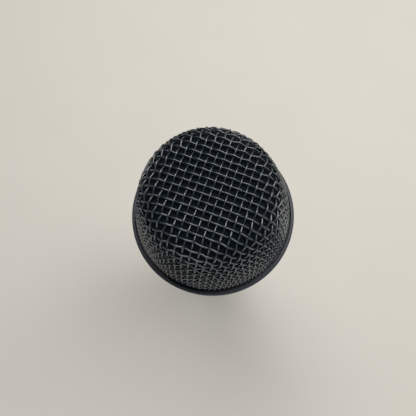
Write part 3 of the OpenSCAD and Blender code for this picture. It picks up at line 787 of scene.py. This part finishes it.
class Bench:
    """Puts Blender's own tools to work on one piece at a time."""

    @staticmethod
    def settle(piece: Piece, node: str, body: str, slot: str, paint: Paints) -> None:
        """Dresses a new piece and puts it in a frame node's place.

        Args:
            piece: the piece.
            node: the frame node that it stands for.
            body: the body that it rides on.
            slot: not used.
            paint: its finish.
        """
        paint.value.dress(piece)
        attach(piece, body)
        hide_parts(node)
        log.info("%s: %d faces", piece.name, len(piece.data.polygons))

    @staticmethod
    def clear() -> None:
        """Leaves edit mode and selects nothing."""
        if bpy.context.object and bpy.context.object.mode != "OBJECT":
            bpy.ops.object.mode_set(mode="OBJECT")
        bpy.ops.object.select_all(action="DESELECT")

    @staticmethod
    def pick(piece: Piece) -> None:
        """Makes a piece the only selected and active one.

        Args:
            piece: the piece to work on.
        """
        Bench.clear()
        bpy.context.view_layer.objects.active = piece
        piece.select_set(True)

    @staticmethod
    def copy(node: str, name: str) -> Piece:
        """A merged copy of a frame node, to be worked on.

        Args:
            node: the frame node.
            name: the new piece's name.

        Returns:
            The new piece.
        """
        source = NODES[node]
        piece = bpy.data.objects.new(name, source.data.copy())
        bpy.context.scene.collection.objects.link(piece)
        Bench.pick(piece)
        bpy.ops.object.mode_set(mode="EDIT")
        bpy.ops.mesh.select_all(action="SELECT")
        bpy.ops.mesh.remove_doubles(threshold=1e-6)
        bpy.ops.object.mode_set(mode="OBJECT")
        return piece

    @staticmethod
    def finish(piece: Piece, angle: float = 40.0) -> Piece:
        """Applies a piece's modifiers and smooths it, keeping edges sharper than the angle.

        Args:
            piece: the piece.
            angle: the sharpest angle that is smoothed, in degrees.

        Returns:
            The same piece.
        """
        Bench.pick(piece)
        for modifier in list(piece.modifiers):
            bpy.ops.object.modifier_apply(modifier=modifier.name)
        bpy.ops.object.shade_smooth_by_angle(angle=math.radians(angle))
        return piece

    @staticmethod
    def soften(piece: Piece, voxel: float, cloud: float, depth: float) -> Piece:
        """Gives a soft piece even faces and a slightly uneven skin that stays inside its first shape.

        Args:
            piece: the closed piece.
            voxel: the size of its faces, in metres.
            cloud: the size of the unevenness, in metres.
            depth: how deep it is, in metres.

        Returns:
            The same piece.
        """
        remesh = piece.modifiers.new("even", "REMESH")
        remesh.mode, remesh.voxel_size, remesh.use_smooth_shade = "VOXEL", voxel, True
        texture = bpy.data.textures.new(piece.name + "_unevenness", "CLOUDS")
        texture.noise_scale = cloud
        push = piece.modifiers.new("uneven", "DISPLACE")
        push.texture, push.strength, push.mid_level = texture, depth, 0.9
        return Bench.finish(piece, 180)

    @staticmethod
    def disc(name: str, node: str, thick: float = 1.0) -> Piece:
        """A round disc in the place of a frame node, its face in rings.

        Args:
            name: the piece's name.
            node: the frame node that it stands for.
            thick: its thickness, as a share of the node's.

        Returns:
            The piece.
        """
        low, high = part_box(node)
        radius = (high.x - low.x) / 2
        rings = 9
        Bench.clear()
        middle = (low + high) / 2
        bpy.ops.mesh.primitive_circle_add(vertices=96, radius=radius, fill_type="NGON", location=middle)
        piece = bpy.context.object
        piece.name = piece.data.name = name
        bpy.ops.object.transform_apply(location=True, rotation=False, scale=False)
        bpy.ops.object.mode_set(mode="EDIT")
        bpy.ops.mesh.select_all(action="SELECT")
        for _ in range(rings - 1):
            bpy.ops.mesh.inset(thickness=radius / rings)
        bpy.ops.mesh.poke()
        bpy.ops.object.mode_set(mode="OBJECT")
        wall = piece.modifiers.new("thickness", "SOLIDIFY")
        wall.thickness, wall.offset = thick * (high.z - low.z), 0.0
        return Bench.finish(piece)

    @staticmethod
    def tubes(name: str, paths: list[np.ndarray], radius: float) -> Piece:
        """Round wires along centre lines, as one mesh.

        Args:
            name: the piece's name.
            paths: the centre lines, in mm.
            radius: the wires' radius, in mm.

        Returns:
            The piece.
        """
        curve = bpy.data.curves.new(name, "CURVE")
        curve.dimensions, curve.bevel_depth = "3D", radius * MM
        curve.bevel_resolution, curve.use_fill_caps = 2, True
        for path in paths:
            spline = curve.splines.new("POLY")
            spline.points.add(len(path) - 1)
            spline.points.foreach_set("co", np.column_stack([path * MM, np.ones(len(path))]).ravel())
        piece = bpy.data.objects.new(name, curve)
        bpy.context.scene.collection.objects.link(piece)
        Bench.pick(piece)
        bpy.ops.object.convert(target="MESH")
        piece = bpy.context.object
        piece.name = piece.data.name = name
        bpy.ops.object.shade_smooth()
        return piece


@dataclass
class Outline:
    """The half outline of the grille's two baskets, at the middle of the cloth, in mm and radians.

    Attributes:
        ring_top: height of the ring's upper face.
        ring_low: height of its lower face.
        ring_radius: its radius.
        foot_height: height of the lower basket's narrow end.
        foot_radius: radius there.
        dome_height: from the ring to the crown.
        cap_radius: the crown's radius of curvature.
        cap_edge: how far out the crown's arc goes.
        bend_radius: radius of the shoulder.
        side_angle: angle of the wall's normal from the axis, at the ring.
        skirt_lean: how far the skirt leans in below the ring.
        ring_to_cloth: from the ring's edge in to the cloth.
        corner: radius of the bend under the skirt.
        upright: height of the straight band above that bend.
        spare: how far both outlines go on past the ring.
    """

    ring_top: float
    ring_low: float
    ring_radius: float
    foot_height: float
    foot_radius: float
    dome_height: float = 29.5
    cap_radius: float = 70.0
    cap_edge: float = 11.7
    bend_radius: float = 8.7
    side_angle: float = math.radians(83)
    skirt_lean: float = math.radians(20)
    ring_to_cloth: float = 2.0
    corner: float = 3.0
    upright: float = 2.4
    spare: float = 9.0

    @property
    def cloth_radius(self) -> float:
        """Radius of the cloth at the ring."""
        return self.ring_radius - self.ring_to_cloth

    @staticmethod
    def _arc(centre: tuple[float, float], radius: float, start: float, end: float) -> np.ndarray:
        """Points of an arc, with angles from the axis outwards.

        Args:
            centre: radius and height of its centre.
            radius: its radius.
            start: the angle where it starts.
            end: the angle where it ends.

        Returns:
            The points' radii and heights.
        """
        a = np.linspace(start, end, max(3, int(abs(end - start) * radius / LINE_STEP)))
        return np.column_stack([centre[0] + radius * np.sin(a), centre[1] + radius * np.cos(a)])

    def dome(self) -> np.ndarray:
        """The upper basket, from the crown out past the ring.

        Returns:
            The points' radii and heights.
        """
        cap = (0.0, self.ring_top + self.dome_height - self.cap_radius)
        cap_a = math.asin(self.cap_edge / self.cap_radius)
        reach = self.cap_radius - self.bend_radius
        bend = (cap[0] + reach * math.sin(cap_a), cap[1] + reach * math.cos(cap_a))
        n = np.array([math.sin(self.side_angle), math.cos(self.side_angle)])
        gap = np.array([self.cloth_radius, self.ring_top]) - bend
        side_radius = (gap @ gap - self.bend_radius**2) / (2 * (gap @ n - self.bend_radius))
        side = np.array([self.cloth_radius, self.ring_top]) - side_radius * n
        side_a = math.atan2(bend[0] - side[0], bend[1] - side[1])
        parts = [self._arc(cap, self.cap_radius, 0.0, cap_a),
                 self._arc(bend, self.bend_radius, cap_a, side_a)[1:],
                 self._arc(tuple(side), side_radius, side_a, self.side_angle)[1:]]
        end, way = parts[-1][-1], np.array([math.cos(self.side_angle), -math.sin(self.side_angle)])
        parts.append(end + np.arange(LINE_STEP, self.spare, LINE_STEP)[:, None] * way)
        return np.vstack(parts)

    def skirt(self) -> np.ndarray:
        """The lower basket, from a closed floor out past the ring.

        Returns:
            The points' radii and heights.
        """
        lean = math.pi / 2 + self.skirt_lean
        n = np.array([math.sin(lean), math.cos(lean)])
        rise = np.array([self.cloth_radius - self.foot_radius, self.ring_low - self.foot_height])
        radius = (rise @ rise) / (2 * (rise @ n))
        centre = np.array([self.cloth_radius, self.ring_low]) - radius * n
        foot = math.acos((self.foot_height - centre[1]) / radius)
        wall = self._arc(tuple(centre), radius, foot, lean)
        inner, top = wall[0]
        base = top - self.upright
        up, across = 12, 49
        upright = np.column_stack([np.full(up, inner), np.linspace(base, top, up + 1)[:-1]])
        turn = self._arc((inner - self.corner, base), self.corner, math.pi, math.pi / 2)
        floor = np.column_stack([np.linspace(0, turn[0, 0], across + 1)[:-1], np.full(across, turn[0, 1])])
        past = wall[-1] + np.arange(LINE_STEP, self.spare, LINE_STEP)[:, None] * np.array([-n[1], n[0]])
        return np.vstack([floor, turn, upright[1:], wall[1:], past])


@dataclass
class Grille:
    """The two woven baskets, the ring that joins them, their collar and the foam inside.

    Attributes:
        pitch: distance between wires, in mm.
        wire: diameter of a wire, in mm.
        turn: angle of the weft from +X, in radians.
        foot_rise: from the bottom of the lower basket's node up to the cloth's narrow end, in mm.
        foot_radius: radius of the cloth there, in mm.
        tuck: how far each cloth stops short of the middle of the ring, in mm.
        body: the body that it rides on.
    """

    pitch: float = 2.0
    wire: float = 0.5
    turn: float = math.radians(-29.56)
    foot_rise: float = 1.2
    foot_radius: float = 17.0
    tuck: float = 0.5
    body: str = "grille"

    def outline(self) -> Outline:
        """The half outline of the baskets, from the frame's own ring and collar."""
        low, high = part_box("grille_ring")
        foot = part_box("lower_basket")[0].z / MM + self.foot_rise
        return Outline(high.z / MM, low.z / MM, high.x / MM, foot, self.foot_radius)

    def baskets(self) -> None:
        """Weaves both baskets and gives them their lacquer."""
        shape = self.outline()
        ring = (shape.ring_top + shape.ring_low) / 2
        common = {"pitch": self.pitch, "wire": self.wire, "turn": self.turn}
        upper = WovenCloth(
            Former(shape.dome(), 1.0), ring + self.tuck, True, start=(-0.482, 0.022), **common)
        lower = WovenCloth(
            Former(shape.skirt(), -1.0), ring - self.tuck, False, start=(0.3, 0.2), held=0.0, **common)
        for cloth, node in ((upper, "upper_basket"), (lower, "lower_basket")):
            cloth.weave()
            for family in Family:
                piece = self._wires(cloth, node, family)
                Bench.settle(piece, node, self.body, "grille_wire", Paints.WIRE)

    def _wires(self, cloth: WovenCloth, node: str, family: Family) -> Piece:
        """One family of one basket's wires.

        Args:
            cloth: the woven cloth.
            node: the basket's frame node.
            family: the weft or the warp.

        Returns:
            The piece.
        """
        paths = cloth.wires(family)
        if not cloth.top_side:
            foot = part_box(node)[0].z / MM
            paths = [part for path in paths for part in self._above(path, foot)]
        piece = Bench.tubes(f"{node}_{family.value}", paths, cloth.wire / 2)
        co = np.zeros(len(piece.data.vertices) * 3, np.float32)
        piece.data.vertices.foreach_get("co", co)
        co = co.reshape(-1, 3) / MM
        height = np.zeros(len(co), np.float32)
        for k in range(0, len(co), 20000):
            seat, normal, _ = cloth.former.seat(co[k:k + 20000])
            height[k:k + 20000] = ((co[k:k + 20000] - seat) * normal).sum(1)
        crown = piece.data.attributes.new("crown", "FLOAT", "POINT")
        crown.data.foreach_set("value", np.clip(0.5 + height / (2 * cloth.wire), 0, 1).astype(np.float32))
        return piece

    @staticmethod
    def _above(path: np.ndarray, height: float) -> list[np.ndarray]:
        """The stretches of a wire that lie above a height.

        Args:
            path: the wire's points, in mm.
            height: the height, in mm.

        Returns:
            Each stretch of three points or more.
        """
        keep = np.flatnonzero(path[:, 2] >= height)
        runs = np.split(keep, np.flatnonzero(np.diff(keep) > 1) + 1) if len(keep) else []
        return [path[run] for run in runs if len(run) > 2]

    def foam(self) -> None:
        """Cuts the foam lining, with the soft unevenness of pressed foam."""
        piece = Bench.copy("foam_windscreen", "foam_lining")
        Bench.soften(piece, voxel=0.00055, cloud=0.004, depth=0.00025)
        Bench.settle(piece, "foam_windscreen", self.body, "foam", Paints.FOAM)

    def dress(self) -> None:
        """Gives the ring and the collar their enamel."""
        Paints.RING.value.dress(NODES["grille_ring"])
        Paints.COLLAR.value.dress(NODES["grille_collar"])

    def build(self) -> None:
        """Builds and dresses the whole grille."""
        self.baskets()
        self.foam()
        self.dress()


@dataclass
class Handle:
    """The handle with its switch and tail socket, dressed."""

    finishes: dict[str, Paints] = field(default_factory=lambda: {
        "handle": Paints.HANDLE, "switch_plate": Paints.PLASTIC, "switch_screws": Paints.SCREW,
        "switch_slider": Paints.PLASTIC, "switch_body": Paints.STEEL, "switch_tags": Paints.GOLD,
        "connector_insert": Paints.PLASTIC, "contact_pins": Paints.GOLD, "insert_screw": Paints.SCREW,
        "neck_gasket": Paints.RUBBER})

    def build(self) -> None:
        """Dresses every piece."""
        dress_nodes(self.finishes)


@dataclass
class Innards:
    """The capsule, transformer and wiring inside the handle, dressed."""

    finishes: dict[str, Paints] = field(default_factory=lambda: {
        "transformer_core": Paints.LAMINATE, "transformer_bobbin": Paints.BOBBIN,
        "transformer_winding": Paints.COPPER, "transformer_sleeve": Paints.SLEEVE,
        "lead_wires": Paints.LEADS, "shock_mount": Paints.RUBBER, "capsule_shell": Paints.CAPSULE,
        "rear_chamber": Paints.PLASTIC, "terminal_board": Paints.PHENOLIC,
        "solder_lugs": Paints.GOLD, "yoke_cup": Paints.STEEL, "magnet": Paints.MAGNET,
        "pole_piece": Paints.STEEL, "top_plate": Paints.STEEL, "voice_coil": Paints.COPPER,
        "diaphragm": Paints.FILM, "diaphragm_surround": Paints.FILM, "front_cap": Paints.PLASTIC})
    body: str = "handle"

    def felt(self) -> None:
        """Cuts the felt pad that damps the rear chamber."""
        piece = Bench.soften(Bench.disc("felt_pad", "felt_plug"), voxel=0.0004, cloud=0.0012, depth=0.0002)
        Bench.settle(piece, "felt_plug", self.body, "felt", Paints.FELT)

    def cloth(self) -> None:
        """Cuts the round of silk that lies behind the front cap."""
        piece = Bench.disc("dust_silk", "cloth_disc", 0.6)
        Bench.settle(piece, "cloth_disc", self.body, "cloth", Paints.CLOTH)

    def build(self) -> None:
        """Dresses every piece and makes the soft ones."""
        dress_nodes(self.finishes)
        self.felt()
        self.cloth()


@dataclass
class Studio:
    """The pale floor, the soft light and the camera.

    Attributes:
        tilt: how far the camera looks off the axis, in radians.
        roll: how far the camera is turned about its own line, in radians.
        aim: where the ring's centre lies from the middle of the view, right and down, in metres.
        distance: from the camera to the ring's centre, along its line of sight, in metres.
        lens: the camera's focal length, in mm on a frame 36 mm wide.
        width: the floor's width, in metres.
        under: the gap between the floor and the tail, in metres.
        focus: the height on the axis that every lamp faces, in metres.
    """

    tilt: float = math.radians(13.4)
    roll: float = math.radians(-9.7)
    aim: tuple[float, float] = (0.00137, 0.00155)
    distance: float = 0.1312
    lens: float = 36.09
    width: float = 6.0
    under: float = 0.0004
    focus: float = 0.12

    def camera(self) -> None:
        """Sets the camera in front of the grille, a little off its axis."""
        ct, st, cr, sr = math.cos(self.tilt), math.sin(self.tilt), math.cos(self.roll), math.sin(self.roll)
        right = Vector((cr, ct * sr, st * sr))
        down = Vector((sr, -ct * cr, -st * cr))
        ahead = Vector((0, st, -ct))
        target = Vector((0, 0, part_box("grille_ring")[1].z))
        place = target - self.aim[0] * right - self.aim[1] * down - self.distance * ahead
        camera = bpy.data.objects.new("camera", bpy.data.cameras.new("camera"))
        camera.data.lens, camera.data.sensor_width, camera.data.clip_start = self.lens, 36.0, 0.005
        camera.matrix_world = Matrix.Translation(place) @ Matrix((right, -down, -ahead)).transposed().to_4x4()
        bpy.context.scene.collection.objects.link(camera)
        bpy.context.scene.camera = camera

    def floor(self) -> None:
        """Lays a wide pale floor under the tail."""
        Bench.clear()
        place = (0, 0, CAD_BOX[0].z - self.under)
        bpy.ops.mesh.primitive_grid_add(size=self.width, x_subdivisions=8, y_subdivisions=8, location=place)
        floor = bpy.context.object
        floor.name = "floor"
        material = bpy.data.materials.new("floor_board")
        nodes = Nodes(material)
        grain = nodes.noise(0.05, 5.0)
        nodes.surface(Base_Color=nodes.blend(grain, (0.67, 0.63, 0.57), (0.71, 0.67, 0.61)), Roughness=0.7)
        floor.data.materials.append(material)

    def _lamp(self, name: str, place: Triple, size: tuple[float, float], power: float,
              colour: Triple) -> None:
        """One soft lamp that faces the grille.

        Args:
            name: its name.
            place: where it hangs, in metres.
            size: its width and height, in metres.
            power: its power, in watts.
            colour: its colour.
        """
        lamp = bpy.data.lights.new(name, "AREA")
        lamp.shape, lamp.energy, lamp.color = "RECTANGLE", power, colour
        lamp.size, lamp.size_y = size
        piece = bpy.data.objects.new(name, lamp)
        piece.location = place
        ahead = Vector((0, 0, self.focus)) - Vector(place)
        piece.rotation_euler = ahead.to_track_quat("-Z", "Y").to_euler()
        bpy.context.scene.collection.objects.link(piece)

    def light(self) -> None:
        """Hangs the lamps and sets the room's even light."""
        world = bpy.data.worlds.new("room")
        bpy.context.scene.world = world
        world.use_nodes = True
        background = world.node_tree.nodes["Background"]
        background.inputs["Color"].default_value = (0.84, 0.94, 1.0, 1.0)
        background.inputs["Strength"].default_value = 0.08
        self._lamp("key", (0.18, 0.26, 0.80), (0.95, 0.45), 7.9, (1.0, 0.985, 0.96))
        cool = (0.86, 0.94, 1.0)
        self._lamp("front", (-0.10, -0.85, 0.20), (1.1, 0.14), 2.4, cool)
        self._lamp("left", (-0.80, 0.05, 0.12), (0.45, 0.15), 0.4, cool)
        self._lamp("right", (0.80, 0.00, 0.14), (0.5, 0.15), 0.7, cool)

    def build(self) -> None:
        """Sets the whole stage."""
        bpy.context.scene.view_settings.view_transform = "Standard"
        self.camera()
        self.floor()
        self.light()


def main() -> None:
    """Builds the microphone and its stage, and reports each sub-assembly."""
    logging.basicConfig(level=logging.INFO, format="%(name)s: %(message)s")
    for part in (Studio(), Grille(), Handle(), Innards()):
        part.build()
        log.info("%s built", type(part).__name__)


if __name__ == "__main__":
    main()
